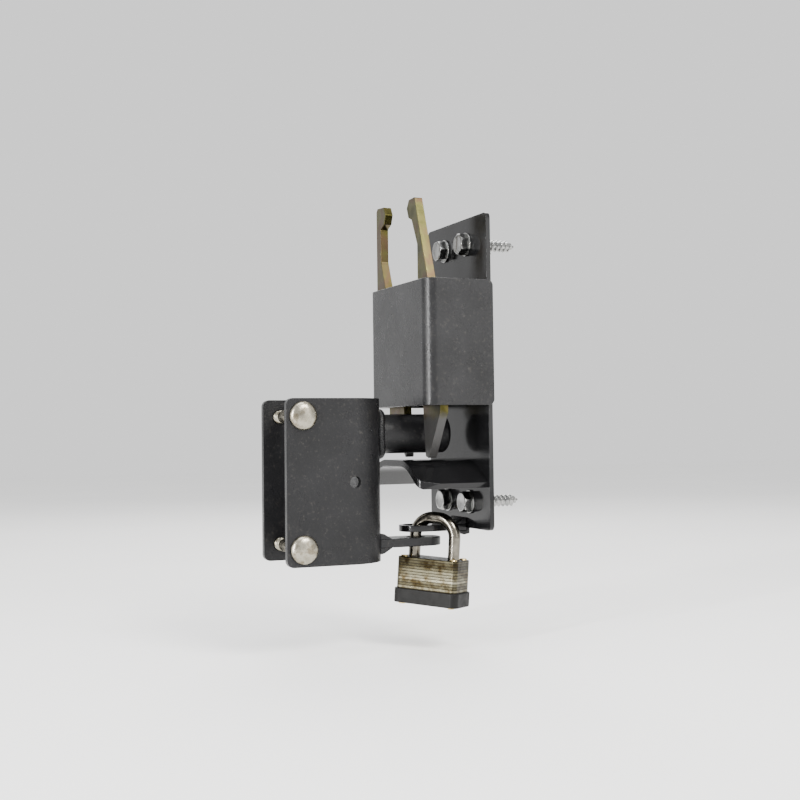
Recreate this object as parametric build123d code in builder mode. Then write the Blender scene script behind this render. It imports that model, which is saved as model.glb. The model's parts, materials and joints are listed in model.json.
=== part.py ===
from build123d import *
import math
import os

# Frame: origin at the centre of the post plate's back face, +X into the post, +Y to the
# rear, +Z up. Lengths in millimetres.

# Post plate and its padlock lug
PLATE_T = 3.4
PLATE_W = 104.0
PLATE_TOP = 117.5
PLATE_BOTTOM = -117.5
PLATE_CORNER_R = 4.5
LAG_DY = 38.1
LAG_DZ = 195.0
LAG_HOLE_R = 5.2
LAG_SHANK_R = 4.1
LAG_THREAD_R = 4.76
LAG_THREAD_START = 1.0
LAG_THREAD_END = 32.0
LAG_POINT = 6.0
LUG_W = 25.4
POST_LUG_TOP = -114.5
POST_LUG_T = 4.76
POST_LUG_HOLE_R = 9.6
GATE_LUG_HOLE_R = 7.0

# Cover
COVER_X = -54.0
COVER_T = 3.4
COVER_TOP = 66.9
COVER_BOTTOM = -25.4
COVER_BEND_R = 9.0

# Striker ramp
RAMP_X = -58.5
RAMP_T = 4.76
RAMP_TOP = -65.3
RAMP_HALF_W = 50.0
RAMP_WING_Z = -82.0
RAMP_KNEE_Y = 25.0
RAMP_KNEE_R = 38.0
RAMP_CORNER_R = 6.0
RAMP_WELD_HALF = 12.0
RAMP_CUT_Y = 46.3
RAMP_CUT_X = 20.0

# Levers
LEVER_T = 6.35
FRONT_X = -42.0
REAR_TOP_X = -49.4
REAR_LOW_X = -40.0
JOGGLE_TOP = -12.0
JOGGLE_BOTTOM = -19.0
LEVER_LIFT = 36.0
STUD_R = 4.0
SLOT_R = 4.25
STUD_Z_HIGH = 54.0
STUD_Z_LOW = 36.0
FRONT_STUD_Y = -26.5
REAR_STUD_Y = 39.2

# Gate clamp, latch pin and gate lug
TUBE_X = -101.5
TUBE_R = 25.5
CLAMP_T = 4.7
CLAMP_TOP = -19.5
CLAMP_BOTTOM = -138.8
CLAMP_LEFT = -151.7
CLAMP_CORNER_R = 5.0
CLAMP_R = TUBE_R + CLAMP_T
BOLT_X = -139.2
BOLT_ZS = (-32.1, -126.5)
BOLT_R = 4.76
BLEED_X = -100.0
BLEED_Z = -80.0
BLEED_R = 4.25
PIN_Z = -45.7
PIN_R = 14.7
PIN_WALL = 3.2
PIN_END = -15.7
PIN_CAP_T = 4.0
PIN_BEAD = 5.0
GATE_LUG_TOP = -123.5
GATE_LUG_T = 6.35
GATE_LUG_END_X = -33.8

# Padlock
LOCK_X = -40.4
LOCK_Y = 0.0
LOCK_TURN = 51.9
LOCK_LEAN = 3.8
LOCK_LEAN_TURN = 23.0
LOCK_PIVOT_Z = -121.0
LEG_DX = 33.0
LEG_R = 4.4
BOW_TOP = -108.0
BOW_R = 14.5
BODY_TOP = -138.0
BODY_W = 50.0
BODY_D = 24.0
BODY_CORNER_R = 3.6
LAM_T = 2.1
LAM_COUNT = 16
BUMPER_H = 10.7
BUMPER_T = 1.6
CAM_R = 14.3
CAM_TOP = -140.9
CAM_T = 2.5
CAM_POCKET_W = 28.4
CAM_POCKET_D = 21.6
PLUG_R = 5.5
SHELL_R = 8.0
RIVET_DX = 20.5
RIVET_DY = 8.3
RIVET_R = 2.0

BODY_BOTTOM = BODY_TOP - LAM_T * LAM_COUNT
LEAN = math.radians(LOCK_LEAN)
LEAN_TURN = math.radians(LOCK_LEAN_TURN)
TURN = math.radians(LOCK_TURN)
LOCK_AXIS = Vector(
    math.sin(LEAN) * math.cos(LEAN_TURN),
    -math.sin(LEAN) * math.sin(LEAN_TURN),
    math.cos(LEAN),
)
LOCK_LEVEL = Vector(math.cos(TURN), -math.sin(TURN), 0)
LOCK_NORMAL = LOCK_LEVEL.cross(LOCK_AXIS).normalized()
LOCK_DIR = LOCK_AXIS.cross(LOCK_NORMAL)
LOCK_ORIGIN = Vector(LOCK_X, LOCK_Y, LOCK_PIVOT_Z) - LOCK_AXIS * LOCK_PIVOT_Z
LOCK_AXIS_LINE = Axis(LOCK_ORIGIN, LOCK_AXIS)
LOCK_FLAT = Plane(origin=LOCK_ORIGIN, x_dir=LOCK_DIR, z_dir=LOCK_AXIS)
LOCK_UPRIGHT = Plane(origin=LOCK_ORIGIN, x_dir=LOCK_DIR, z_dir=LOCK_NORMAL)
LAG_POINTS = [(y * LAG_DY / 2, z * LAG_DZ / 2) for y in (-1, 1) for z in (-1, 1)]

os.makedirs("parts", exist_ok=True)

# Post plate
with BuildPart() as post_plate:
    with BuildSketch(Plane.YZ.offset(-PLATE_T)):
        with Locations((0, (PLATE_TOP + PLATE_BOTTOM) / 2)):
            RectangleRounded(PLATE_W, PLATE_TOP - PLATE_BOTTOM, PLATE_CORNER_R)
        with Locations(*LAG_POINTS):
            Circle(LAG_HOLE_R, mode=Mode.SUBTRACT)
    extrude(amount=PLATE_T)
post_plate.part.label = "post_plate"
export_step(post_plate.part, "parts/post_plate.step")

# Post lug: flat bar welded to the foot of the plate, with the upper padlock hole
with BuildPart() as post_lug:
    with BuildSketch(Plane.XY.offset(POST_LUG_TOP - POST_LUG_T)):
        with Locations(((LOCK_X - PLATE_T) / 2, 0)):
            Rectangle(-PLATE_T - LOCK_X, LUG_W)
        with Locations((LOCK_X, 0)):
            Circle(LUG_W / 2)
            Circle(POST_LUG_HOLE_R, mode=Mode.SUBTRACT)
    extrude(amount=POST_LUG_T)
post_lug.part.label = "post_lug"
export_step(post_lug.part, "parts/post_lug.step")

# Weld fillets above and below the root of the post lug
POST_LUG_BOTTOM = POST_LUG_TOP - POST_LUG_T
with BuildPart() as post_lug_weld:
    with BuildSketch(Plane.XZ.offset(-LUG_W / 2)):
        with BuildLine():
            Polyline(
                (-PLATE_T, POST_LUG_TOP),
                (-PLATE_T, POST_LUG_TOP + 5),
                (-PLATE_T - 2.5, POST_LUG_TOP + 4),
                (-PLATE_T - 10, POST_LUG_TOP),
                close=True,
            )
        make_face()
        with BuildLine():
            Polyline(
                (-PLATE_T, POST_LUG_BOTTOM),
                (-PLATE_T - 10, POST_LUG_BOTTOM),
                (-PLATE_T - 2, POST_LUG_BOTTOM - 3.6),
                (-0.8, POST_LUG_BOTTOM - 2.6),
                (-0.8, PLATE_BOTTOM),
                (-PLATE_T, PLATE_BOTTOM),
                close=True,
            )
        make_face()
    extrude(amount=LUG_W)
post_lug_weld.part.label = "post_lug_weld"
export_step(post_lug_weld.part, "parts/post_lug_weld.step")

# Cover: folded channel whose legs wrap the long edges of the post plate
COVER_HALF = PLATE_W / 2 + COVER_T
with BuildPart() as latch_cover:
    with BuildSketch(Plane.XY.offset(COVER_BOTTOM)):
        with BuildLine():
            FilletPolyline(
                (0, -COVER_HALF),
                (COVER_X, -COVER_HALF),
                (COVER_X, COVER_HALF),
                (0, COVER_HALF),
                radius=COVER_BEND_R,
            )
            Polyline((0, COVER_HALF), (0, PLATE_W / 2))
            FilletPolyline(
                (0, PLATE_W / 2),
                (COVER_X + COVER_T, PLATE_W / 2),
                (COVER_X + COVER_T, -PLATE_W / 2),
                (0, -PLATE_W / 2),
                radius=COVER_BEND_R - COVER_T,
            )
            Polyline((0, -PLATE_W / 2), (0, -COVER_HALF))
        make_face()
    extrude(amount=COVER_TOP - COVER_BOTTOM)
    leg_corners = latch_cover.edges().filter_by(Axis.Y).filter_by_position(Axis.X, -0.01, 0.01)
    fillet(leg_corners, 4.5)
latch_cover.part.label = "latch_cover"
export_step(latch_cover.part, "parts/latch_cover.step")

# Weld beads that run up the front of the plate inside the cover's legs
with BuildPart() as cover_welds:
    for side in (-1, 1):
        with BuildSketch(Plane.XY.offset(-18)):
            with BuildLine():
                Polyline(
                    (-PLATE_T, side * PLATE_W / 2),
                    (-PLATE_T, side * (PLATE_W / 2 - 3.2)),
                    (-PLATE_T - 3.2, side * PLATE_W / 2),
                    close=True,
                )
            make_face()
        extrude(amount=76)
cover_welds.part.label = "cover_welds"
export_step(cover_welds.part, "parts/cover_welds.step")

# Striker ramp: bent plate with a flat top and two wings sloping down
RAMP_SLOPE = math.atan2(RAMP_TOP - RAMP_WING_Z, RAMP_HALF_W - RAMP_KNEE_Y)
RAMP_INNER_END = (
    RAMP_HALF_W - RAMP_T * math.sin(RAMP_SLOPE),
    RAMP_WING_Z - RAMP_T * math.cos(RAMP_SLOPE),
)
RAMP_INNER_KNEE = RAMP_KNEE_Y - RAMP_T * math.tan(RAMP_SLOPE / 2)
with BuildPart() as striker_ramp:
    with BuildSketch(Plane.YZ.offset(RAMP_X)):
        with BuildLine():
            FilletPolyline(
                (-RAMP_HALF_W, RAMP_WING_Z),
                (-RAMP_KNEE_Y, RAMP_TOP),
                (RAMP_KNEE_Y, RAMP_TOP),
                (RAMP_HALF_W, RAMP_WING_Z),
                radius=RAMP_KNEE_R,
            )
            Line((RAMP_HALF_W, RAMP_WING_Z), RAMP_INNER_END)
            FilletPolyline(
                RAMP_INNER_END,
                (RAMP_INNER_KNEE, RAMP_TOP - RAMP_T),
                (-RAMP_INNER_KNEE, RAMP_TOP - RAMP_T),
                (-RAMP_INNER_END[0], RAMP_INNER_END[1]),
                radius=RAMP_KNEE_R - RAMP_T,
            )
            Line((-RAMP_INNER_END[0], RAMP_INNER_END[1]), (-RAMP_HALF_W, RAMP_WING_Z))
        make_face()
    extrude(amount=-PLATE_T - RAMP_X)
    with BuildSketch(Plane.XY.offset(RAMP_WING_Z - 10)):
        for side in (-1, 1):
            with BuildLine():
                Polyline(
                    (RAMP_X - 1, side * RAMP_CUT_Y),
                    (RAMP_X + RAMP_CUT_X, side * (RAMP_HALF_W + 1)),
                    (RAMP_X - 1, side * (RAMP_HALF_W + 1)),
                    close=True,
                )
            make_face()
    extrude(amount=20, mode=Mode.SUBTRACT)
    ramp_corners = striker_ramp.edges().filter_by(Axis.Z).filter_by_position(
        Axis.X, RAMP_X - 0.01, RAMP_X + 0.01
    )
    fillet(ramp_corners, RAMP_CORNER_R)
striker_ramp.part.label = "striker_ramp"
export_step(striker_ramp.part, "parts/striker_ramp.step")

# Weld bead under the flat of the ramp
with BuildPart() as ramp_weld:
    with BuildSketch(Plane.XZ.offset(-RAMP_WELD_HALF)):
        with BuildLine():
            Polyline(
                (-PLATE_T, RAMP_TOP - RAMP_T),
                (-PLATE_T - 5, RAMP_TOP - RAMP_T),
                (-PLATE_T, RAMP_TOP - RAMP_T - 5),
                close=True,
            )
        make_face()
    extrude(amount=2 * RAMP_WELD_HALF)
ramp_weld.part.label = "ramp_weld"
export_step(ramp_weld.part, "parts/ramp_weld.step")

# Front lever: flat drop plate with a finger hook and an upright slot
FRONT_OUTLINE = [
    (-9.5, 133.5),
    (-32, 69),
    (-50.8, -24),
    (-50.8, -30.5),
    (-29.5, -64),
    (-24.2, -62.5),
    (-21, -30),
    (-13.5, 71),
    (-13.5, 97),
    (-3.5, 117),
    (2.5, 119.5),
    (5.5, 127),
    (1.5, 133),
]
SLOT_TOP = STUD_Z_HIGH + SLOT_R
SLOT_LENGTH = STUD_Z_HIGH - STUD_Z_LOW + LEVER_LIFT + 2 * SLOT_R + 0.4
SLOT_Z = SLOT_TOP - SLOT_LENGTH / 2
with BuildPart() as front_lever:
    with BuildSketch(Plane.YZ.offset(FRONT_X)) as front_face:
        with BuildLine():
            Polyline(*FRONT_OUTLINE, close=True)
        make_face()
        fillet(front_face.vertices(), 1.4)
    extrude(amount=LEVER_T)
    with BuildSketch(Plane.YZ.offset(FRONT_X)):
        with Locations((FRONT_STUD_Y, SLOT_Z)):
            SlotOverall(SLOT_LENGTH, 2 * SLOT_R, rotation=90)
    extrude(amount=LEVER_T, mode=Mode.SUBTRACT)
front_lever.part.label = "front_lever"
export_step(front_lever.part, "parts/front_lever.step")

# Rear lever: handed match of the front lever, joggled back below its slot
REAR_OUTLINE = [
    (49.4, 131),
    (49.4, -31),
    (18.5, -64),
    (16.6, -63),
    (20, -28),
    (31, 66),
    (40.5, 90),
    (40.5, 116),
    (33.5, 119),
    (30.5, 126),
    (34, 132.5),
    (47, 133.5),
]
with BuildPart() as rear_lever:
    with BuildSketch(Plane.XZ.offset(-60)):
        with BuildLine():
            Polyline(
                (REAR_TOP_X, 140),
                (REAR_TOP_X, JOGGLE_TOP),
                (REAR_LOW_X, JOGGLE_BOTTOM),
                (REAR_LOW_X, -70),
                (REAR_LOW_X + LEVER_T, -70),
                (REAR_LOW_X + LEVER_T, JOGGLE_BOTTOM + 2.6),
                (REAR_TOP_X + LEVER_T, JOGGLE_TOP + 2.6),
                (REAR_TOP_X + LEVER_T, 140),
                close=True,
            )
        make_face()
    extrude(amount=60)
    with BuildSketch(Plane.YZ.offset(-60)) as rear_face:
        with BuildLine():
            Polyline(*REAR_OUTLINE, close=True)
        make_face()
        fillet(rear_face.vertices(), 1.2)
    extrude(amount=40, mode=Mode.INTERSECT)
    with BuildSketch(Plane.YZ.offset(-60)):
        with Locations((REAR_STUD_Y, SLOT_Z)):
            SlotOverall(SLOT_LENGTH, 2 * SLOT_R, rotation=90)
    extrude(amount=40, mode=Mode.SUBTRACT)
rear_lever.part.label = "rear_lever"
export_step(rear_lever.part, "parts/rear_lever.step")

# Guide studs welded to the plate, two for each lever
FRONT_STUDS = [(FRONT_STUD_Y, STUD_Z_HIGH), (FRONT_STUD_Y, STUD_Z_LOW)]
REAR_STUDS = [(REAR_STUD_Y, STUD_Z_HIGH), (REAR_STUD_Y, STUD_Z_LOW)]
STUD_END = COVER_X + COVER_T + 0.2
with BuildPart() as guide_studs:
    with BuildSketch(Plane.YZ.offset(STUD_END)):
        with Locations(*FRONT_STUDS, *REAR_STUDS):
            Circle(STUD_R)
    extrude(amount=-PLATE_T - STUD_END)
guide_studs.part.label = "guide_studs"
export_step(guide_studs.part, "parts/guide_studs.step")

# Spacer bushes behind each lever
with BuildPart() as stud_bushes:
    with BuildSketch(Plane.YZ.offset(-PLATE_T)):
        with Locations(*FRONT_STUDS):
            Circle(7)
            Circle(STUD_R + 0.1, mode=Mode.SUBTRACT)
    extrude(amount=FRONT_X + LEVER_T + PLATE_T + 0.3)
    with BuildSketch(Plane.YZ.offset(-PLATE_T)):
        with Locations(*REAR_STUDS):
            Circle(7)
            Circle(STUD_R + 0.1, mode=Mode.SUBTRACT)
    extrude(amount=REAR_TOP_X + LEVER_T + PLATE_T + 0.3)
stud_bushes.part.label = "stud_bushes"
export_step(stud_bushes.part, "parts/stud_bushes.step")

# Washers in front of the front lever
with BuildPart() as guide_washers:
    with BuildSketch(Plane.YZ.offset(FRONT_X - 0.3)):
        with Locations(*FRONT_STUDS):
            Circle(8)
            Circle(STUD_R + 0.1, mode=Mode.SUBTRACT)
    extrude(amount=-1.5)
guide_washers.part.label = "guide_washers"
export_step(guide_washers.part, "parts/guide_washers.step")

# Push-on clips that keep those washers on their studs
with BuildPart() as retaining_clips:
    with BuildSketch(Plane.YZ.offset(FRONT_X - 1.8)):
        with Locations(*FRONT_STUDS):
            Circle(6.5)
            Circle(STUD_R, mode=Mode.SUBTRACT)
    extrude(amount=-1.2)
retaining_clips.part.label = "retaining_clips"
export_step(retaining_clips.part, "parts/retaining_clips.step")

# Washers under the lag heads
WASHER_T = 1.6
with BuildPart() as lag_washers:
    with BuildSketch(Plane.YZ.offset(-PLATE_T - WASHER_T)):
        with Locations(*LAG_POINTS):
            Circle(8.9)
            Circle(LAG_HOLE_R, mode=Mode.SUBTRACT)
    extrude(amount=WASHER_T)
lag_washers.part.label = "lag_washers"
export_step(lag_washers.part, "parts/lag_washers.step")

# Hex lag screws with rolled threads: a reduced shank through the plate, then the full thread
LAG_HEAD_X = -PLATE_T - WASHER_T - 6.4
with BuildPart() as lag_screws:
    with BuildSketch(Plane.YZ.offset(LAG_HEAD_X)):
        with Locations(*LAG_POINTS):
            RegularPolygon(7.15, 6, major_radius=False)
    extrude(amount=6.4)
    head_rims = lag_screws.faces().filter_by_position(
        Axis.X, LAG_HEAD_X - 0.01, LAG_HEAD_X + 0.01
    )
    chamfer(head_rims.edges(), 0.6)
    with BuildSketch(Plane.YZ.offset(-PLATE_T - WASHER_T)):
        with Locations(*LAG_POINTS):
            Circle(LAG_SHANK_R)
    extrude(amount=LAG_THREAD_START + PLATE_T + WASHER_T)
    with BuildSketch(Plane.YZ.offset(LAG_THREAD_START)):
        with Locations(*LAG_POINTS):
            Circle(LAG_THREAD_R)
    extrude(amount=LAG_THREAD_END - LAG_THREAD_START)
    with BuildSketch(Plane.YZ.offset(LAG_THREAD_END)):
        with Locations(*LAG_POINTS):
            Circle(LAG_THREAD_R)
    extrude(amount=LAG_POINT, taper=34)
lag_screws.part.label = "lag_screws"
export_step(lag_screws.part, "parts/lag_screws.step")

# Gate clamp: plate bent in a U round the gate tube
with BuildPart() as gate_clamp:
    with BuildSketch(Plane.XY.offset(CLAMP_BOTTOM)):
        with Locations((TUBE_X, 0)):
            Circle(CLAMP_R)
        with Locations(((CLAMP_LEFT + TUBE_X) / 2, 0)):
            Rectangle(TUBE_X - CLAMP_LEFT, 2 * CLAMP_R)
        with Locations((TUBE_X, 0)):
            Circle(TUBE_R, mode=Mode.SUBTRACT)
        with Locations(((CLAMP_LEFT + TUBE_X) / 2, 0)):
            Rectangle(TUBE_X - CLAMP_LEFT, 2 * TUBE_R, mode=Mode.SUBTRACT)
    extrude(amount=CLAMP_TOP - CLAMP_BOTTOM)
    flange_corners = gate_clamp.edges().filter_by(Axis.Y).filter_by_position(
        Axis.X, CLAMP_LEFT - 0.01, CLAMP_LEFT + 0.01
    )
    fillet(flange_corners, CLAMP_CORNER_R)
    with BuildSketch(Plane.XZ.offset(-CLAMP_R - 1)):
        with Locations(*[(BOLT_X, z) for z in BOLT_ZS]):
            Circle(5.2)
    extrude(amount=CLAMP_R + 1, mode=Mode.SUBTRACT)
    with BuildSketch(Plane.XZ):
        with Locations(*[(BOLT_X, z) for z in BOLT_ZS]):
            Rectangle(10, 10)
        with Locations((BLEED_X, BLEED_Z)):
            Circle(BLEED_R)
    extrude(amount=CLAMP_R + 1, mode=Mode.SUBTRACT)
gate_clamp.part.label = "gate_clamp"
export_step(gate_clamp.part, "parts/gate_clamp.step")

# Latch pin: tube coped to the outside of the clamp
with BuildPart() as latch_pin:
    with BuildSketch(Plane.YZ.offset(TUBE_X)):
        with Locations((0, PIN_Z)):
            Circle(PIN_R)
            Circle(PIN_R - PIN_WALL, mode=Mode.SUBTRACT)
    extrude(amount=PIN_END - PIN_CAP_T - TUBE_X)
    with BuildSketch(Plane.XY.offset(CLAMP_BOTTOM)):
        with Locations((TUBE_X, 0)):
            Circle(CLAMP_R)
    extrude(amount=CLAMP_TOP - CLAMP_BOTTOM, mode=Mode.SUBTRACT)
latch_pin.part.label = "latch_pin"
export_step(latch_pin.part, "parts/latch_pin.step")

# End cap of the pin
with BuildPart() as pin_end_cap:
    with BuildSketch(Plane.YZ.offset(PIN_END - PIN_CAP_T)):
        with Locations((0, PIN_Z)):
            Circle(PIN_R)
    extrude(amount=PIN_CAP_T)
    cap_rim = pin_end_cap.faces().sort_by(Axis.X)[-1]
    fillet(cap_rim.edges(), 3)
pin_end_cap.part.label = "pin_end_cap"
export_step(pin_end_cap.part, "parts/pin_end_cap.step")

# Fillet weld between the pin and the clamp
with BuildPart() as pin_weld:
    with BuildSketch(Plane.YZ.offset(-95)):
        with Locations((0, PIN_Z)):
            Circle(PIN_R + PIN_BEAD)
            Circle(PIN_R + 0.02, mode=Mode.SUBTRACT)
    extrude(amount=35)
    with BuildSketch(Plane.XY.offset(CLAMP_BOTTOM)):
        with Locations((TUBE_X, 0)):
            Circle(CLAMP_R + PIN_BEAD)
            Circle(CLAMP_R, mode=Mode.SUBTRACT)
    extrude(amount=CLAMP_TOP - CLAMP_BOTTOM, mode=Mode.INTERSECT)
    bead_edge = pin_weld.edges().sort_by(Edge.length)[-2:].sort_by(Axis.X)[-1]
    chamfer(bead_edge, PIN_BEAD * 0.7)
pin_weld.part.label = "pin_weld"
export_step(pin_weld.part, "parts/pin_weld.step")

# Gate lug: flat bar welded to the clamp, its hole under the post lug's
with BuildPart() as gate_lug:
    with BuildSketch(Plane.XY.offset(GATE_LUG_TOP - GATE_LUG_T)):
        with Locations(((TUBE_X + GATE_LUG_END_X) / 2, 0)):
            Rectangle(GATE_LUG_END_X - TUBE_X, LUG_W)
        with Locations((GATE_LUG_END_X, 0)):
            Circle(LUG_W / 2)
        with Locations((LOCK_X, 0)):
            Circle(GATE_LUG_HOLE_R, mode=Mode.SUBTRACT)
        with Locations((TUBE_X, 0)):
            Circle(CLAMP_R, mode=Mode.SUBTRACT)
    extrude(amount=GATE_LUG_T)
gate_lug.part.label = "gate_lug"
export_step(gate_lug.part, "parts/gate_lug.step")

# Weld fillets above and below the root of the lug
LUG_MID_Z = GATE_LUG_TOP - GATE_LUG_T / 2
with BuildPart() as lug_weld:
    with BuildSketch(Plane.XZ.offset(-LUG_W / 2)):
        for side in (-1, 1):
            with BuildLine():
                Polyline(
                    (-76, LUG_MID_Z + side * GATE_LUG_T / 2),
                    (-76, LUG_MID_Z + side * (GATE_LUG_T / 2 + 5)),
                    (-71, LUG_MID_Z + side * (GATE_LUG_T / 2 + 4)),
                    (-64.5, LUG_MID_Z + side * GATE_LUG_T / 2),
                    close=True,
                )
            make_face()
    extrude(amount=LUG_W)
    with BuildSketch(Plane.XY.offset(CLAMP_BOTTOM)):
        with Locations((TUBE_X, 0)):
            Circle(CLAMP_R)
    extrude(amount=40, mode=Mode.SUBTRACT)
lug_weld.part.label = "lug_weld"
export_step(lug_weld.part, "parts/lug_weld.step")

# Carriage bolts through both flanges, left of the tube
BOLT_POINTS = [(BOLT_X, z) for z in BOLT_ZS]
with BuildPart() as carriage_bolts:
    with BuildSketch(Plane.XZ.offset(-44)):
        with Locations(*BOLT_POINTS):
            Circle(BOLT_R)
    extrude(amount=44 + CLAMP_R + 1)
    with BuildSketch(Plane.XZ.offset(TUBE_R + 0.2)):
        with Locations(*BOLT_POINTS):
            Rectangle(9.52, 9.52)
    extrude(amount=CLAMP_R - TUBE_R)
    with BuildSketch(Plane.XZ.offset(CLAMP_R)):
        with Locations(*BOLT_POINTS):
            Circle(10.3)
    extrude(amount=5.2)
    head_faces = carriage_bolts.faces().filter_by_position(
        Axis.Y, -CLAMP_R - 5.21, -CLAMP_R - 5.19
    )
    fillet(head_faces.edges(), 4.9)
carriage_bolts.part.label = "carriage_bolts"
export_step(carriage_bolts.part, "parts/carriage_bolts.step")

# Washers under the nuts
with BuildPart() as bolt_washers:
    with BuildSketch(Plane.XZ.offset(-CLAMP_R)):
        with Locations(*BOLT_POINTS):
            Circle(11)
            Circle(5.2, mode=Mode.SUBTRACT)
    extrude(amount=-WASHER_T)
bolt_washers.part.label = "bolt_washers"
export_step(bolt_washers.part, "parts/bolt_washers.step")

# Hex nuts
with BuildPart() as bolt_nuts:
    with BuildSketch(Plane.XZ.offset(-CLAMP_R - WASHER_T)):
        with Locations(*BOLT_POINTS):
            RegularPolygon(7.15, 6, major_radius=False)
            Circle(BOLT_R, mode=Mode.SUBTRACT)
    extrude(amount=-8.3)
bolt_nuts.part.label = "bolt_nuts"
export_step(bolt_nuts.part, "parts/bolt_nuts.step")

# Padlock shackle: long leg through both lugs, short leg free of them
LONG_LEG_END = -166.0
SHORT_LEG_END = -151.5
BOW_FOOT = BOW_TOP - BOW_R - 2
with BuildPart() as shackle:
    with BuildSketch(LOCK_FLAT.offset(LONG_LEG_END)):
        Circle(LEG_R)
    extrude(amount=BOW_FOOT - LONG_LEG_END)
    with BuildSketch(LOCK_FLAT.offset(SHORT_LEG_END)):
        with Locations((LEG_DX, 0)):
            Circle(LEG_R)
    extrude(amount=BOW_FOOT - SHORT_LEG_END)
    with BuildSketch(LOCK_FLAT.offset(CAM_TOP - CAM_T - 0.3)):
        with Locations((LEG_DX / 2, 0)):
            Circle(CAM_R + 0.4)
    extrude(amount=CAM_T + 0.6, mode=Mode.SUBTRACT)
    with BuildLine(LOCK_UPRIGHT) as bow_path:
        FilletPolyline(
            (0, BOW_FOOT),
            (0, BOW_TOP),
            (LEG_DX, BOW_TOP),
            (LEG_DX, BOW_FOOT),
            radius=BOW_R,
        )
    with BuildSketch(LOCK_FLAT.offset(BOW_FOOT)):
        Circle(LEG_R)
    sweep(path=bow_path.line)
shackle.part.label = "shackle"
export_step(shackle.part, "parts/shackle.step")

# Laminations: stack of steel plates, the second and third opened out for the cam
RIVET_POINTS = [
    (LEG_DX / 2 + x * RIVET_DX, y * RIVET_DY) for x in (-1, 1) for y in (-1, 1)
]
LEG_POINTS = [(0, 0), (LEG_DX, 0)]
with BuildPart() as lock_laminations:
    for index in range(1, LAM_COUNT - 1):
        with BuildSketch(LOCK_FLAT.offset(BODY_TOP - LAM_T * index)):
            with Locations((LEG_DX / 2, 0)):
                RectangleRounded(BODY_W, BODY_D, BODY_CORNER_R)
                if index < 3:
                    Rectangle(CAM_POCKET_W, CAM_POCKET_D, mode=Mode.SUBTRACT)
                else:
                    Circle(SHELL_R + 0.05, mode=Mode.SUBTRACT)
            with Locations(*LEG_POINTS):
                Circle(LEG_R + 0.25, mode=Mode.SUBTRACT)
            with Locations(*RIVET_POINTS):
                Circle(RIVET_R, mode=Mode.SUBTRACT)
        extrude(amount=-LAM_T + 0.08)
lock_laminations.part.label = "lock_laminations"
export_step(lock_laminations.part, "parts/lock_laminations.step")

# Top plate of the padlock
with BuildPart() as lock_top_plate:
    with BuildSketch(LOCK_FLAT.offset(BODY_TOP)):
        with Locations((LEG_DX / 2, 0)):
            RectangleRounded(BODY_W, BODY_D, BODY_CORNER_R)
        with Locations(*LEG_POINTS):
            Circle(LEG_R + 0.25, mode=Mode.SUBTRACT)
        with Locations(*RIVET_POINTS):
            Circle(RIVET_R, mode=Mode.SUBTRACT)
    extrude(amount=-LAM_T)
    top_rim = lock_top_plate.faces().sort_by(LOCK_AXIS_LINE)[-1].outer_wire().edges()
    fillet(top_rim, 0.8)
lock_top_plate.part.label = "lock_top_plate"
export_step(lock_top_plate.part, "parts/lock_top_plate.step")

# Bottom plate of the padlock
with BuildPart() as lock_bottom_plate:
    with BuildSketch(LOCK_FLAT.offset(BODY_BOTTOM)):
        with Locations((LEG_DX / 2, 0)):
            RectangleRounded(BODY_W, BODY_D, BODY_CORNER_R)
            Circle(SHELL_R + 0.05, mode=Mode.SUBTRACT)
        with Locations(*RIVET_POINTS):
            Circle(RIVET_R, mode=Mode.SUBTRACT)
    extrude(amount=LAM_T)
lock_bottom_plate.part.label = "lock_bottom_plate"
export_step(lock_bottom_plate.part, "parts/lock_bottom_plate.step")

# Rivets that hold the stack, headed at both ends
with BuildPart() as lock_rivets:
    with BuildSketch(LOCK_FLAT.offset(BODY_BOTTOM)):
        with Locations(*RIVET_POINTS):
            Circle(RIVET_R)
    extrude(amount=BODY_TOP - BODY_BOTTOM)
    with BuildSketch(LOCK_FLAT.offset(BODY_TOP)):
        with Locations(*RIVET_POINTS):
            Circle(2.9)
    extrude(amount=0.9, taper=30)
    with BuildSketch(LOCK_FLAT.offset(BODY_BOTTOM)):
        with Locations(*RIVET_POINTS):
            Circle(2.7)
    extrude(amount=-1.6, taper=12)
lock_rivets.part.label = "lock_rivets"
export_step(lock_rivets.part, "parts/lock_rivets.step")

# Bumper band round the foot of the stack
with BuildPart() as lock_bumper:
    with BuildSketch(LOCK_FLAT.offset(BODY_BOTTOM - 0.6)):
        with Locations((LEG_DX / 2, 0)):
            RectangleRounded(
                BODY_W + 2 * BUMPER_T, BODY_D + 2 * BUMPER_T, BODY_CORNER_R + BUMPER_T
            )
            RectangleRounded(BODY_W, BODY_D, BODY_CORNER_R, mode=Mode.SUBTRACT)
    extrude(amount=BUMPER_H)
    bumper_rims = lock_bumper.faces().sort_by(LOCK_AXIS_LINE)
    fillet([bumper_rims[0].outer_wire().edges(), bumper_rims[-1].outer_wire().edges()], 0.7)
lock_bumper.part.label = "lock_bumper"
export_step(lock_bumper.part, "parts/lock_bumper.step")

# Cylinder shell
SHELL_TOP = BODY_TOP - 3 * LAM_T
with BuildPart() as lock_cylinder:
    with BuildSketch(LOCK_FLAT.offset(BODY_BOTTOM)):
        with Locations((LEG_DX / 2, 0)):
            Circle(SHELL_R)
            Circle(PLUG_R + 0.08, mode=Mode.SUBTRACT)
    extrude(amount=SHELL_TOP - BODY_BOTTOM)
lock_cylinder.part.label = "lock_cylinder"
export_step(lock_cylinder.part, "parts/lock_cylinder.step")

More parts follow.
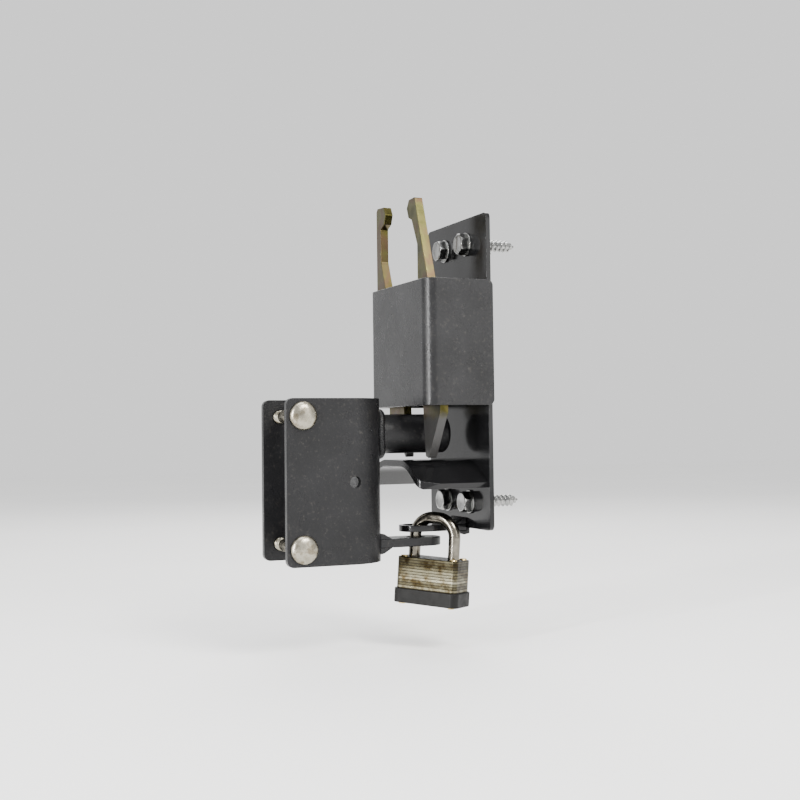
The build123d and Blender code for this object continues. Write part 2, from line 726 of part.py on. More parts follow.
# Key plug with its cam, which sits in the shackle's notches when locked
with BuildPart() as key_plug:
    with BuildSketch(LOCK_FLAT.offset(BODY_BOTTOM + 0.4)):
        with Locations((LEG_DX / 2, 0)):
            Circle(PLUG_R)
            Rectangle(2.2, 7.6, mode=Mode.SUBTRACT)
    extrude(amount=18)
    with BuildSketch(LOCK_FLAT.offset(BODY_BOTTOM + 18.4)):
        with Locations((LEG_DX / 2, 0)):
            Circle(PLUG_R)
    extrude(amount=CAM_TOP - CAM_T - BODY_BOTTOM - 18.4)
    with BuildSketch(LOCK_FLAT.offset(CAM_TOP - CAM_T)):
        with Locations((LEG_DX / 2, 0)):
            Circle(CAM_R)
            Rectangle(2 * CAM_R + 1, 5, mode=Mode.INTERSECT)
            Circle(PLUG_R)
    extrude(amount=CAM_T)
key_plug.part.label = "key_plug"
export_step(key_plug.part, "parts/key_plug.step")
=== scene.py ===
import bpy
import bmesh
import json
import math
from mathutils import Matrix, Vector


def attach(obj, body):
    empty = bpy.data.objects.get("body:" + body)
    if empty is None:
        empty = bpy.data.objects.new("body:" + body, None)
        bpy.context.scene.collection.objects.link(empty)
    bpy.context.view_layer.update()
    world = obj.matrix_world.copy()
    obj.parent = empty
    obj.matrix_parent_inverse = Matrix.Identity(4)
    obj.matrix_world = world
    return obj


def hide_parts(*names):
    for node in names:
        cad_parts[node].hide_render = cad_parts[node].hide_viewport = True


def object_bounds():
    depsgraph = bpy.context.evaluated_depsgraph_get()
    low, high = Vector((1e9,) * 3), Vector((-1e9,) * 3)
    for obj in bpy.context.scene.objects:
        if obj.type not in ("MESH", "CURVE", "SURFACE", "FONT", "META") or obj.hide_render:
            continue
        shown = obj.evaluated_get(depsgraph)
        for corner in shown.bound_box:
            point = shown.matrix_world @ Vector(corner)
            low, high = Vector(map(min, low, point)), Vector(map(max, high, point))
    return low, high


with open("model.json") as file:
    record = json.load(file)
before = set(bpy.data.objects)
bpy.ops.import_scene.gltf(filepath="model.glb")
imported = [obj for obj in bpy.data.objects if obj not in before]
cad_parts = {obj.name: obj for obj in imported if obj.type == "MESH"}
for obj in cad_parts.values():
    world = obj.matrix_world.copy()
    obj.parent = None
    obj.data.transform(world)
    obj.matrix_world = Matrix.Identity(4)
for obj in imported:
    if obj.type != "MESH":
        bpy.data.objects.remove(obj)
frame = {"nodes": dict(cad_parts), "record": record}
cad_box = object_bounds()
NODES = frame["nodes"]
MM = 0.001

# The padlock leans from upright: its axis, the point it passes through, and its plates
LOCK_LEAN = math.radians(3.8)
LOCK_LEAN_TURN = math.radians(23)
LOCK_AXIS = Vector((
    math.sin(LOCK_LEAN) * math.cos(LOCK_LEAN_TURN),
    -math.sin(LOCK_LEAN) * math.sin(LOCK_LEAN_TURN),
    math.cos(LOCK_LEAN),
))
LOCK_PIVOT = Vector((-0.0404, 0, -0.121))
LOCK_BODY_TOP = -0.138
LAM_T = 0.0021

# Painted shade and dark reflection cover the levers' blades below the first height, where they hang under
# the cover, and are gone above the second.
# Noise lowers both heights by up to the third value.
BLADE_SHADE_FULL_Z = -0.029
BLADE_SHADE_NONE_Z = -0.023
BLADE_SHADE_WOBBLE = 0.012

# Colours that materials are taken towards
DUST_COLOR = (0.16, 0.145, 0.125)
# Painted shade and dark reflection for the lower lever blades, which hang under the cover
BLADE_SHADE_COLOR = (0.035, 0.034, 0.033)
# Painted shade in the grooves between the padlock's plates
GROOVE_SHADE_COLOR = (0.012, 0.01, 0.007)

# Angles in degrees: smooth shading stops, and bevels start, where faces meet more sharply
SMOOTH_ANGLE = 32
THREAD_SMOOTH_ANGLE = 25
WELD_SMOOTH_ANGLE = 50
BEVEL_ANGLE = 35

# Lag screws lie along X. These are millimetres, with x at 0 on the plate's back face.
LAG_HALF_Y = 19.05
LAG_HALF_Z = 97.5
LAG_TOP_X = -11.4
LAG_DISH_DEPTH = 0.15
LAG_DISH_R = 5.3
LAG_RIM_DEPTH = 0.02
LAG_RIM_INNER_R = 5.6
LAG_RIM_R = 6.5
LAG_CHAMFER_REACH = 1.9
LAG_CHAMFER_DEPTH = 1.1
LAG_HEX_HALF = 7.15
LAG_HEX_FOOT_HALF = 7.0
LAG_HEX_END_X = -5.6
LAG_SEAT_X = -5.0
LAG_SHANK_R = 4.05
LAG_SHANK_END_X = 0.9
LAG_THREAD_X = 1.1
LAG_THREAD_LENGTH = 35.4
LAG_THREAD_R = 4.72
LAG_THREAD_DEPTH = 0.95
LAG_THREAD_RUN_IN = 3
LAG_PITCH = 3.6
LAG_TAPER_X = 31
LAG_TAPER = 0.6
LAG_CORE_R = 0.35
LAG_TIP_X = 37.3
LAG_TIP_R = 0.15

# Carriage bolts lie along Y. These are millimetres, with y at 0 on the clamp's middle plane.
BOLT_X = -139.2
BOLT_HEIGHTS = (-32.1, -126.5)
BOLT_DOME_Y = -30.3
BOLT_DOME_RISE = 5.0
BOLT_DOME_TIP_R = 0.3
BOLT_HEAD_R = 10.25
BOLT_RIM_Y = -30.7
BOLT_SEAT_Y = -30.2
BOLT_SEAT_R = 10.1
BOLT_NECK_HALF = 4.7
BOLT_NECK_CORNER_R = 6.3
BOLT_NECK_END_Y = -25.9
BOLT_SHANK_Y = -25.5
BOLT_SHANK_R = 4.7
BOLT_THREAD_Y = 14.0
BOLT_THREAD_LENGTH = 29.2
BOLT_THREAD_R = 4.73
BOLT_THREAD_DEPTH = 0.6
BOLT_THREAD_RUN_IN = 2
BOLT_PITCH = 1.588
BOLT_CHAMFER_Y = 42.6
BOLT_END_Y = 43.6
BOLT_END_R = 3.6

THREAD_STEPS = 150

# The weld round the pin's root, in millimetres
PIN_R = 15.9
PIN_Z = -45.7
CLAMP_AXIS_X = -101.5
CLAMP_R = 30.2
WELD_LIFT = 1.4
WELD_R = 3.0
WELD_COIN = 1.9
WELD_STEPS_PER_COIN = 8
SADDLE_STEPS = 96

# The studio and the camera, in metres and degrees
FLOOR_SIZE = 8
FLOOR_DROP = 0.03
SKY_STRENGTH = 1.15
LIT_POINT = Vector((-0.06, 0, -0.02))
CAMERA_AT = Vector((-0.4201, -0.8655, -0.0442))
CAMERA_AZIMUTH = 23.06
CAMERA_PITCH = 2.5
CAMERA_ROLL = -0.705
CAMERA_LENS = 55.95
CAMERA_SENSOR = 36
CAMERA_SHIFT_Y = -0.0282
CAMERA_CLIP = 0.01


# ---------------------------------------------------------------- materials

def new_material(name, color, metallic, roughness):
    mat = bpy.data.materials.new(name)
    mat.use_nodes = True
    shader = mat.node_tree.nodes["Principled BSDF"]
    shader.inputs["Base Color"].default_value = (*color, 1)
    shader.inputs["Metallic"].default_value = metallic
    shader.inputs["Roughness"].default_value = roughness
    return mat, mat.node_tree, shader


def object_coordinates(tree):
    return tree.nodes.new("ShaderNodeTexCoord").outputs["Object"]


def noise(tree, scale, detail=4.0, rough=0.55, stretch=(1, 1, 1)):
    mapping = tree.nodes.new("ShaderNodeMapping")
    mapping.inputs["Scale"].default_value = stretch
    tex = tree.nodes.new("ShaderNodeTexNoise")
    tex.inputs["Scale"].default_value = scale
    tex.inputs["Detail"].default_value = detail
    tex.inputs["Roughness"].default_value = rough
    tree.links.new(object_coordinates(tree), mapping.inputs["Vector"])
    tree.links.new(mapping.outputs["Vector"], tex.inputs["Vector"])
    return tex.outputs["Fac"]


def ramp(tree, value, stops):
    node = tree.nodes.new("ShaderNodeValToRGB")
    elements = node.color_ramp.elements
    while len(elements) < len(stops):
        elements.new(0.5)
    for element, (position, color) in zip(elements, stops):
        element.position = position
        element.color = (*color, 1)
    tree.links.new(value, node.inputs["Fac"])
    return node.outputs["Color"]


def spread(tree, value, low, high, start=0.3, end=0.7):
    """A value taken from start..end to low..high."""
    node = tree.nodes.new("ShaderNodeMapRange")
    node.inputs["From Min"].default_value = start
    node.inputs["From Max"].default_value = end
    node.inputs["To Min"].default_value = low
    node.inputs["To Max"].default_value = high
    tree.links.new(value, node.inputs["Value"])
    return node.outputs["Result"]


def arithmetic(tree, operation, *values):
    """The result of a Math node whose inputs are sockets or floats."""
    node = tree.nodes.new("ShaderNodeMath")
    node.operation = operation
    for socket, value in zip(node.inputs, values):
        if isinstance(value, float):
            socket.default_value = value
        else:
            tree.links.new(value, socket)
    return node.outputs["Value"]


def towards(tree, color, tint, factor):
    """A colour socket taken towards a fixed tint by a factor."""
    node = tree.nodes.new("ShaderNodeMix")
    node.data_type = "RGBA"
    node.inputs["B"].default_value = (*tint, 1)
    tree.links.new(factor, node.inputs["Factor"])
    tree.links.new(color, node.inputs["A"])
    return node.outputs["Result"]


def multiplied(tree, first, second):
    """Two colour sockets multiplied."""
    node = tree.nodes.new("ShaderNodeMix")
    node.data_type = "RGBA"
    node.blend_type = "MULTIPLY"
    node.inputs["Factor"].default_value = 1.0
    tree.links.new(first, node.inputs["A"])
    tree.links.new(second, node.inputs["B"])
    return node.outputs["Result"]


def bump(tree, shader, layers):
    """Bumps laid one on another, each a height, a strength and a distance in metres."""
    normal = None
    for value, strength, distance in layers:
        node = tree.nodes.new("ShaderNodeBump")
        node.inputs["Strength"].default_value = strength
        node.inputs["Distance"].default_value = distance
        tree.links.new(value, node.inputs["Height"])
        if normal is not None:
            tree.links.new(normal, node.inputs["Normal"])
        normal = node.outputs["Normal"]
    tree.links.new(normal, shader.inputs["Normal"])


def powder(name, dark, light, roughness, peel, dust, specular):
    """Black powder coat: a cloudy tone, specks of dust, and a pebbled surface."""
    low, high = roughness
    mat, tree, shader = new_material(name, dark, 0.0, high)
    shader.inputs["Specular IOR Level"].default_value = specular
    color = ramp(tree, noise(tree, 22, 5), [(0.3, dark), (0.72, light)])
    if dust:
        speck = spread(tree, noise(tree, 420, 6, 0.7), 0.0, dust, 0.56, 0.74)
        color = towards(tree, color, DUST_COLOR, speck)
    tree.links.new(color, shader.inputs["Base Color"])
    tree.links.new(spread(tree, noise(tree, 60, 4), low, high), shader.inputs["Roughness"])
    pebble = noise(tree, 720, 3)
    fine = noise(tree, 1600, 2)
    bump(tree, shader, [(pebble, peel, 0.0003), (fine, peel * 0.8, 0.00012)])
    return mat


def plated(name, stops, roughness, scale, grain, stretch=(1, 1, 1)):
    """Plated metal: patches of tone, patchy gloss, and a grain that stretch can draw out."""
    low, high = roughness
    mat, tree, shader = new_material(name, stops[0][1], 1.0, high)
    tree.links.new(ramp(tree, noise(tree, scale, 5), stops), shader.inputs["Base Color"])
    rough = spread(tree, noise(tree, scale * 3, 4), low, high)
    tree.links.new(rough, shader.inputs["Roughness"])
    bump(tree, shader, [
        (noise(tree, 380, 3, stretch=stretch), grain, 0.0003),
        (noise(tree, 60, 2), grain * 0.5, 0.0006),
    ])
    return mat


def lever_plate():
    """Yellow zinc plate, as it is above, with painted shade and dark reflection taking the blade below dark
    and less metallic.
    """
    mat = plated(
        "yellow_zinc",
        [(0.3, (0.02, 0.018, 0.005)), (0.42, (0.075, 0.066, 0.02)), (0.52, (0.085, 0.055, 0.032)),
         (0.62, (0.09, 0.084, 0.03)), (0.74, (0.028, 0.03, 0.01))],
        roughness=(0.26, 0.42), scale=34, grain=0.2, stretch=(1, 1, 0.2),
    )
    tree = mat.node_tree
    shader = tree.nodes["Principled BSDF"]
    zinc = shader.inputs["Base Color"].links[0].from_socket
    # Painted shade: below a height the blade is taken dark and less metallic, standing in for shade and
    # dark reflection under the cover
    split = tree.nodes.new("ShaderNodeSeparateXYZ")
    tree.links.new(object_coordinates(tree), split.inputs["Vector"])
    height = arithmetic(tree, "MULTIPLY_ADD", noise(tree, 90, 4), BLADE_SHADE_WOBBLE, split.outputs["Z"])
    blade_shade = spread(tree, height, 1.0, 0.0, BLADE_SHADE_FULL_Z, BLADE_SHADE_NONE_Z)
    tree.links.new(towards(tree, zinc, BLADE_SHADE_COLOR, blade_shade), shader.inputs["Base Color"])
    tree.links.new(spread(tree, blade_shade, 1.0, 0.3, 0.0, 1.0), shader.inputs["Metallic"])
    return mat


def laminated():
    """The padlock's stacked plates: each has its own tone, with stains, and painted shade in the grooves
    between plates.
    """
    mat, tree, shader = new_material("laminated_steel", (0.5, 0.47, 0.44), 1.0, 0.35)
    along = tree.nodes.new("ShaderNodeVectorMath")
    along.operation = "DOT_PRODUCT"
    along.inputs[1].default_value = LOCK_AXIS
    tree.links.new(object_coordinates(tree), along.inputs[0])
    top = LOCK_PIVOT.dot(LOCK_AXIS) - LOCK_PIVOT.z + LOCK_BODY_TOP
    plates = arithmetic(tree, "MULTIPLY_ADD", along.outputs["Value"], 1 / LAM_T, -top / LAM_T)
    plate = tree.nodes.new("ShaderNodeTexWhiteNoise")
    plate.noise_dimensions = "1D"
    tree.links.new(arithmetic(tree, "FLOOR", plates), plate.inputs["W"])
    tone = ramp(tree, plate.outputs["Value"], [
        (0.0, (0.04, 0.036, 0.024)), (0.45, (0.105, 0.098, 0.07)), (1.0, (0.28, 0.27, 0.22)),
    ])
    stain = ramp(tree, noise(tree, 130, 6, 0.65), [
        (0.4, (0.36, 0.28, 0.17)), (0.55, (0.9, 0.87, 0.76)), (0.68, (1.0, 1.0, 0.92)),
    ])
    # Painted shade: near black along the groove between each pair of plates
    groove_shade = spread(tree, arithmetic(tree, "PINGPONG", plates, 0.5), 0.92, 0.0, 0.06, 0.2)
    color = towards(tree, multiplied(tree, tone, stain), GROOVE_SHADE_COLOR, groove_shade)
    tree.links.new(color, shader.inputs["Base Color"])
    tree.links.new(spread(tree, noise(tree, 300, 4), 0.26, 0.48), shader.inputs["Roughness"])
    bump(tree, shader, [(noise(tree, 700, 3, stretch=(1, 1, 3)), 0.12, 0.0002)])
    return mat


def bumper_plastic():
    mat, tree, shader = new_material("bumper_plastic", (0.035, 0.036, 0.04), 0.0, 0.5)
    shader.inputs["Specular IOR Level"].default_value = 0.2
    color = ramp(tree, noise(tree, 60, 5), [(0.3, (0.002, 0.0019, 0.0017)), (0.75, (0.006, 0.0056, 0.005))])
    tree.links.new(color, shader.inputs["Base Color"])
    tree.links.new(spread(tree, noise(tree, 200, 3), 0.42, 0.6), shader.inputs["Roughness"])
    bump(tree, shader, [(noise(tree, 1100, 2), 0.18, 0.0002)])
    return mat


POWDER = powder(
    "powder_plate", dark=(0.003, 0.003, 0.0033), light=(0.008, 0.008, 0.0085),
    roughness=(0.1, 0.2), peel=0.04, dust=0.0, specular=0.3,
)
COVER = powder(
    "powder_cover", dark=(0.006, 0.006, 0.0065), light=(0.016, 0.016, 0.017),
    roughness=(0.2, 0.34), peel=0.6, dust=0.2, specular=0.3,
)
CLAMP = powder(
    "powder_clamp", dark=(0.005, 0.005, 0.0055), light=(0.013, 0.013, 0.014),
    roughness=(0.24, 0.42), peel=0.8, dust=0.18, specular=0.24,
)
YELLOW = lever_plate()
ZINC = plated(
    "bright_zinc",
    [(0.3, (0.17, 0.175, 0.175)), (0.55, (0.34, 0.34, 0.33)), (0.75, (0.24, 0.245, 0.25))],
    roughness=(0.14, 0.26), scale=160, grain=0.12,
)
BOLT_ZINC = plated(
    "bolt_zinc",
    [(0.3, (0.24, 0.22, 0.165)), (0.5, (0.36, 0.335, 0.27)), (0.62, (0.18, 0.155, 0.11)),
     (0.8, (0.3, 0.28, 0.23))],
    roughness=(0.2, 0.36), scale=120, grain=0.16,
)
HARD = plated(
    "hardened_steel",
    [(0.3, (0.07, 0.063, 0.05)), (0.6, (0.19, 0.175, 0.145)), (0.8, (0.11, 0.098, 0.078))],
    roughness=(0.1, 0.24), scale=70, grain=0.08, stretch=(1, 1, 0.1),
)
BRASS = plated(
    "lock_brass",
    [(0.3, (0.45, 0.33, 0.13)), (0.55, (0.66, 0.50, 0.22)), (0.8, (0.50, 0.37, 0.17))],
    roughness=(0.24, 0.4), scale=120, grain=0.08,
)
LAMINATED = laminated()
BUMPER = bumper_plastic()


# ------------------------------------------------------------------ pieces

BODY_OF = {
    node: body
    for body, names in frame["record"]["behaviour"]["bodies"].items()
    for node in names
}


def paint(obj, mat):
    if not obj.material_slots:
        obj.data.materials.append(mat)
    for slot in obj.material_slots:
        slot.material = mat


def link(obj):
    bpy.context.scene.collection.objects.link(obj)
    return obj


def apply_modifiers(obj):
    graph = bpy.context.evaluated_depsgraph_get()
    graph.update()
    baked = bpy.data.meshes.new_from_object(obj.evaluated_get(graph))
    obj.modifiers.clear()
    obj.data = baked


def shade(obj, angle):
    """Smooth shading, except over edges sharper than this many degrees."""
    for poly in obj.data.polygons:
        poly.use_smooth = True
    bm = bmesh.new()
    bm.from_mesh(obj.data)
    for edge in bm.edges:
        sharp = len(edge.link_faces) == 2 and edge.calc_face_angle() > math.radians(angle)
        edge.smooth = not sharp
    bm.to_mesh(obj.data)
    bm.free()


def softened(node, mat, width, segments):
    """A copy of a CAD node with its hard edges rounded over, by a width in millimetres."""
    source = NODES[node]
    mesh = bpy.data.meshes.new(node + "_soft")
    bm = bmesh.new()
    bm.from_mesh(source.data)
    bm.transform(source.matrix_world)
    bmesh.ops.remove_doubles(bm, verts=bm.verts, dist=0.000004)
    bmesh.ops.dissolve_limit(
        bm, angle_limit=math.radians(1.0), verts=bm.verts, edges=bm.edges,
        delimit={"NORMAL"},
    )
    bm.to_mesh(mesh)
    bm.free()
    obj = link(bpy.data.objects.new(node + "_soft", mesh))
    bevel = obj.modifiers.new("edge", "BEVEL")
    bevel.width = width * MM
    bevel.segments = segments
    bevel.limit_method = "ANGLE"
    bevel.angle_limit = math.radians(BEVEL_ANGLE)
    bevel.use_clamp_overlap = True
    bevel.miter_outer = "MITER_ARC"
    apply_modifiers(obj)
    shade(obj, SMOOTH_ANGLE)
    weights = obj.modifiers.new("flat_faces", "WEIGHTED_NORMAL")
    weights.keep_sharp = True
    apply_modifiers(obj)
    obj.data.materials.clear()
    paint(obj, mat)
    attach(obj, BODY_OF[node])
    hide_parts(node)


def mesh_piece(name, verts, faces, mat, body, stands_for, angle):
    """A new piece from points in millimetres, in place of CAD nodes."""
    mesh = bpy.data.meshes.new(name)
    mesh.from_pydata([Vector(v) * MM for v in verts], [], faces)
    obj = link(bpy.data.objects.new(name, mesh))
    bm = bmesh.new()
    bm.from_mesh(mesh)
    bmesh.ops.recalc_face_normals(bm, faces=bm.faces)
    bm.to_mesh(mesh)
    bm.free()
    shade(obj, angle)
    paint(obj, mat)
    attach(obj, body)
    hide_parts(*stands_for)


def ring_points(place, radius_at, count, turn=0.0):
    """One ring of points, where place turns its two coordinates into a point in space."""
    return [
        place(radius_at(a) * math.cos(a + turn), radius_at(a) * math.sin(a + turn))
        for a in (2 * math.pi * j / count for j in range(count))
    ]


def skin(count, pairs):
    """Faces between pairs of rings, each pair given by its rings' numbers."""
    faces = []
    for i, after in pairs:
        for j in range(count):
            k = (j + 1) % count
            faces.append((i * count + j, i * count + k, after * count + k, after * count + j))
    return faces


def ring_solid(rings, count):
    """Verts and faces of a closed solid from rings of points, all with count points."""
    verts = [point for ring in rings for point in ring]
    faces = skin(count, [(i, i + 1) for i in range(len(rings) - 1)])
    faces.append(tuple(range(count))[::-1])
    last = (len(rings) - 1) * count
    faces.append(tuple(last + j for j in range(count)))
    return verts, faces


def merged(parts):
    verts, faces = [], []
    for part_verts, part_faces in parts:
        base = len(verts)
        verts += part_verts
        faces += [tuple(base + i for i in face) for face in part_faces]
    return verts, faces


def thread_radius(radius, depth, pitch, turn, along):
    phase = (turn / (2 * math.pi) - along / pitch) % 1.0
    return radius - depth * (1 - abs(2 * phase - 1)) ** 0.8


def polygon_radius(sides, half, angle):
    """Distance from the centre to the side of a polygon that is twice half across its flats."""
    step = 2 * math.pi / sides
    local = (angle + step / 2) % step - step / 2
    return half / math.cos(local)


def lag_screw(y, z, turn):
    """One lag screw along +X: hex head with a crowned top, and a threaded shank to a point."""
    count = 48
    rings = []

    def ring(x, radius_at):
        rings.append(ring_points(lambda u, v: (x, y + u, z + v), radius_at, count, turn))

    rim = LAG_TOP_X + LAG_RIM_DEPTH
    ring(LAG_TOP_X + LAG_DISH_DEPTH, lambda a: LAG_DISH_R)
    ring(rim, lambda a: LAG_RIM_INNER_R)
    ring(rim, lambda a: LAG_RIM_R)
    for step in range(5):
        t = step / 4
        reach = LAG_RIM_R + t * LAG_CHAMFER_REACH
        ring(rim + LAG_CHAMFER_DEPTH * t * t, lambda a: min(reach, polygon_radius(6, LAG_HEX_HALF, a)))
    ring(LAG_HEX_END_X, lambda a: polygon_radius(6, LAG_HEX_HALF, a))
    ring(LAG_SEAT_X, lambda a: polygon_radius(6, LAG_HEX_FOOT_HALF, a))
    ring(LAG_SEAT_X, lambda a: LAG_SHANK_R)
    ring(LAG_SHANK_END_X, lambda a: LAG_SHANK_R)
    for step in range(THREAD_STEPS + 1):
        x = LAG_THREAD_X + step * LAG_THREAD_LENGTH / THREAD_STEPS
        reach = LAG_THREAD_R - max(0.0, x - LAG_TAPER_X) * LAG_TAPER
        depth = min(1.0, (x - LAG_THREAD_X) / LAG_THREAD_RUN_IN) * LAG_THREAD_DEPTH
        ring(x, lambda a: max(LAG_CORE_R, thread_radius(reach, depth, LAG_PITCH, a, x)))
    ring(LAG_TIP_X, lambda a: LAG_TIP_R)
    return ring_solid(rings, count)


def carriage_bolt(x, z):
    """One carriage bolt along +Y: low dome, square neck, shank and a threaded end."""
    count = 64
    dome_steps = 12
    rings = []

    def ring(y, radius_at):
        rings.append(ring_points(lambda u, v: (x + u, y, z + v), radius_at, count))

    def neck(a):
        return min(polygon_radius(4, BOLT_NECK_HALF, a), BOLT_NECK_CORNER_R)

    for step in range(dome_steps):
        angle = math.pi / 2 * step / dome_steps
        radius = max(BOLT_DOME_TIP_R, BOLT_HEAD_R * math.sin(angle) ** 0.9)
        ring(BOLT_DOME_Y - BOLT_DOME_RISE * math.cos(angle) ** 0.8, lambda a: radius)
    ring(BOLT_RIM_Y, lambda a: BOLT_HEAD_R)
    ring(BOLT_SEAT_Y, lambda a: BOLT_SEAT_R)
    ring(BOLT_SEAT_Y, neck)
    ring(BOLT_NECK_END_Y, neck)
    ring(BOLT_SHANK_Y, lambda a: BOLT_SHANK_R)
    ring(BOLT_THREAD_Y, lambda a: BOLT_SHANK_R)
    for step in range(THREAD_STEPS + 1):
        y = BOLT_THREAD_Y + step * BOLT_THREAD_LENGTH / THREAD_STEPS
        reach = BOLT_THREAD_R - max(0.0, y - BOLT_CHAMFER_Y)
        depth = min(1.0, (y - BOLT_THREAD_Y) / BOLT_THREAD_RUN_IN) * BOLT_THREAD_DEPTH
        ring(y, lambda a: thread_radius(reach, depth, BOLT_PITCH, a, y))
    ring(BOLT_END_Y, lambda a: BOLT_END_R)
    return ring_solid(rings, count)


def saddle(radius, lift):
    """Points where a tube along X of this radius meets the clamp's round side."""
    path = []
    for i in range(SADDLE_STEPS + 1):
        a = 2 * math.pi * i / SADDLE_STEPS
        y = radius * math.cos(a)
        z = radius * math.sin(a)
        path.append((CLAMP_AXIS_X + math.sqrt((CLAMP_R + lift) ** 2 - y * y), y, PIN_Z + z))
    return path


def weld_bead(path, radius):
    """A stack-of-coins bead along a closed path of (x, y, z) points in millimetres."""
    points = [Vector(p) for p in path]
    lengths = [0.0]
    for a, b in zip(points, points[1:]):
        lengths.append(lengths[-1] + (b - a).length)
    total = lengths[-1]
    coins = round(total / WELD_COIN)
    samples = coins * WELD_STEPS_PER_COIN
    count = 16
    verts = []
    for i in range(samples):
        s = total * i / samples
        k = max(j for j in range(len(lengths)) if lengths[j] <= s + 1e-9)
        k = min(k, len(points) - 2)
        t = (s - lengths[k]) / (lengths[k + 1] - lengths[k])
        here = points[k].lerp(points[k + 1], t)
        ahead = (points[k + 1] - points[k]).normalized()
        side = ahead.orthogonal().normalized()
        up = side.cross(ahead).normalized()
        phase = (s / total * coins) % 1.0
        size = radius * (0.9 + 0.1 * math.sin(math.pi * phase))
        for j in range(count):
            a = 2 * math.pi * j / count
            verts.append(tuple(here + size * (math.cos(a) * side + math.sin(a) * up)))
    return verts, skin(count, [(i, (i + 1) % samples) for i in range(samples)])


# Each lag screw's place on the plate, and how far its head is turned, in radians
verts, faces = merged([
    lag_screw(-LAG_HALF_Y, -LAG_HALF_Z, 0.26),
    lag_screw(-LAG_HALF_Y, LAG_HALF_Z, 0.05),
    lag_screw(LAG_HALF_Y, -LAG_HALF_Z, 0.72),
    lag_screw(LAG_HALF_Y, LAG_HALF_Z, 0.44),
])
mesh_piece("lag_screws_threaded", verts, faces, ZINC, "post_half", ["lag_screws"], THREAD_SMOOTH_ANGLE)

verts, faces = merged([carriage_bolt(BOLT_X, z) for z in BOLT_HEIGHTS])
mesh_piece(
    "carriage_bolts_threaded", verts, faces, BOLT_ZINC, "gate_half", ["carriage_bolts"],
    THREAD_SMOOTH_ANGLE,
)

verts, faces = weld_bead(saddle(PIN_R, WELD_LIFT), WELD_R)
mesh_piece("pin_weld_bead", verts, faces, CLAMP, "gate_half", ["pin_weld"], WELD_SMOOTH_ANGLE)

# CAD pieces with their edges softened: bevel width in millimetres, and its segments
for node, mat, width, segments in (
    ("post_plate", POWDER, 0.6, 3),
    ("latch_cover", COVER, 0.6, 3),
    ("striker_ramp", POWDER, 0.8, 3),
    ("front_lever", YELLOW, 0.7, 3),
    ("rear_lever", YELLOW, 0.7, 3),
    ("gate_clamp", CLAMP, 0.9, 3),
    ("gate_lug", CLAMP, 0.8, 3),
    ("post_lug", POWDER, 0.6, 3),
    ("post_lug_weld", CLAMP, 0.8, 3),
    ("lug_weld", CLAMP, 0.8, 3),
    ("lag_washers", ZINC, 0.3, 3),
    ("bolt_washers", ZINC, 0.3, 3),
    ("bolt_nuts", ZINC, 0.5, 3),
    ("lock_laminations", LAMINATED, 0.22, 2),
):
    softened(node, mat, width, segments)

# CAD pieces whose shape is kept
for node, mat in {
    "cover_welds": COVER,
    "ramp_weld": POWDER,
    "guide_studs": ZINC,
    "stud_bushes": ZINC,
    "guide_washers": ZINC,
    "retaining_clips": ZINC,
    "latch_pin": CLAMP,
    "pin_end_cap": CLAMP,
    "shackle": HARD,
    "lock_top_plate": LAMINATED,
    "lock_bottom_plate": LAMINATED,
    "lock_rivets": BRASS,
    "lock_bumper": BUMPER,
    "lock_cylinder": BRASS,
    "key_plug": BRASS,
}.items():
    paint(NODES[node], mat)


# ------------------------------------------------------- floor, light, camera

low = Vector(cad_box[0])
bpy.ops.mesh.primitive_plane_add(size=FLOOR_SIZE, location=(0, 0, low.z - FLOOR_DROP))
floor = bpy.context.object
floor.name = "floor"
floor_mat, floor_tree, floor_shader = new_material("floor_pale", (0.96, 0.96, 0.96), 0, 0.8)
floor_tree.links.new(
    ramp(floor_tree, noise(floor_tree, 3, 3), [(0.3, (0.95, 0.95, 0.945)), (0.7, (0.98, 0.98, 0.975))]),
    floor_shader.inputs["Base Color"],
)
paint(floor, floor_mat)

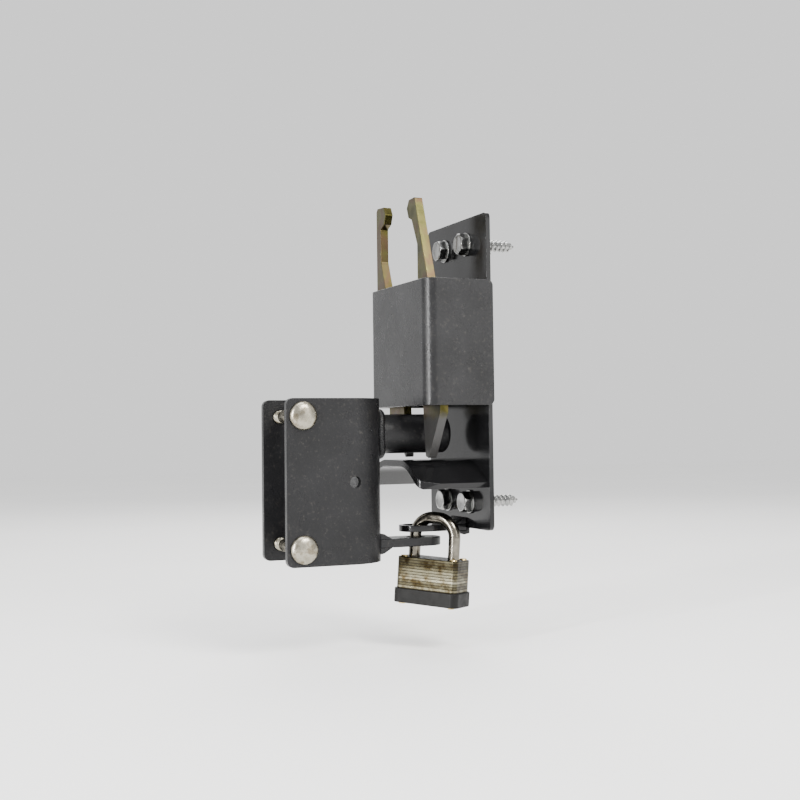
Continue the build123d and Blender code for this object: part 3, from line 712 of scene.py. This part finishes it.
world = bpy.data.worlds.new("studio")
bpy.context.scene.world = world
world.use_nodes = True
sky = world.node_tree.nodes["Background"]
sky.inputs["Color"].default_value = (1.0, 1.0, 1.0, 1)
sky.inputs["Strength"].default_value = SKY_STRENGTH


def area_light(name, azimuth, elevation, distance, size, power, color):
    """A rectangle of light aimed at the lit point: degrees, metres and watts."""
    a, e = math.radians(azimuth), math.radians(elevation)
    direction = Vector((math.sin(a) * math.cos(e), -math.cos(a) * math.cos(e), math.sin(e)))
    data = bpy.data.lights.new(name, "AREA")
    data.shape = "RECTANGLE"
    data.size, data.size_y = size
    data.energy = power
    data.color = color
    obj = link(bpy.data.objects.new(name, data))
    obj.location = LIT_POINT + direction * distance
    obj.rotation_euler = direction.to_track_quat("Z", "Y").to_euler()


area_light("key", 16, 40, 1.4, (0.5, 0.5), 22, (1.0, 0.98, 0.95))
area_light("front", 26, 8, 1.5, (0.5, 0.6), 2.6, (1.0, 0.99, 0.97))
area_light("bend", -64, 8, 1.5, (0.07, 1.1), 34, (1.0, 1.0, 1.0))
area_light("left", -84, 6, 1.4, (0.22, 0.5), 4.5, (1.0, 0.99, 0.96))
area_light("top", -20, 80, 1.5, (0.9, 0.9), 14, (0.97, 0.98, 1.0))
area_light("rear", 160, 40, 1.6, (1.0, 0.8), 14, (1.0, 0.98, 0.95))

azimuth, pitch, roll = (math.radians(v) for v in (CAMERA_AZIMUTH, CAMERA_PITCH, CAMERA_ROLL))
look = Vector((math.sin(azimuth) * math.cos(pitch), math.cos(azimuth) * math.cos(pitch), math.sin(pitch)))
level = Vector((math.cos(azimuth), -math.sin(azimuth), 0))
above = level.cross(look)
right = math.cos(roll) * level + math.sin(roll) * above
up = -math.sin(roll) * level + math.cos(roll) * above
camera_data = bpy.data.cameras.new("camera")
camera_data.lens = CAMERA_LENS
camera_data.sensor_width = CAMERA_SENSOR
camera_data.shift_y = CAMERA_SHIFT_Y
camera_data.clip_start = CAMERA_CLIP
camera = link(bpy.data.objects.new("camera", camera_data))
pose = Matrix((right, up, -look)).transposed().to_4x4()
pose.translation = CAMERA_AT
camera.matrix_world = pose
bpy.context.scene.camera = camera
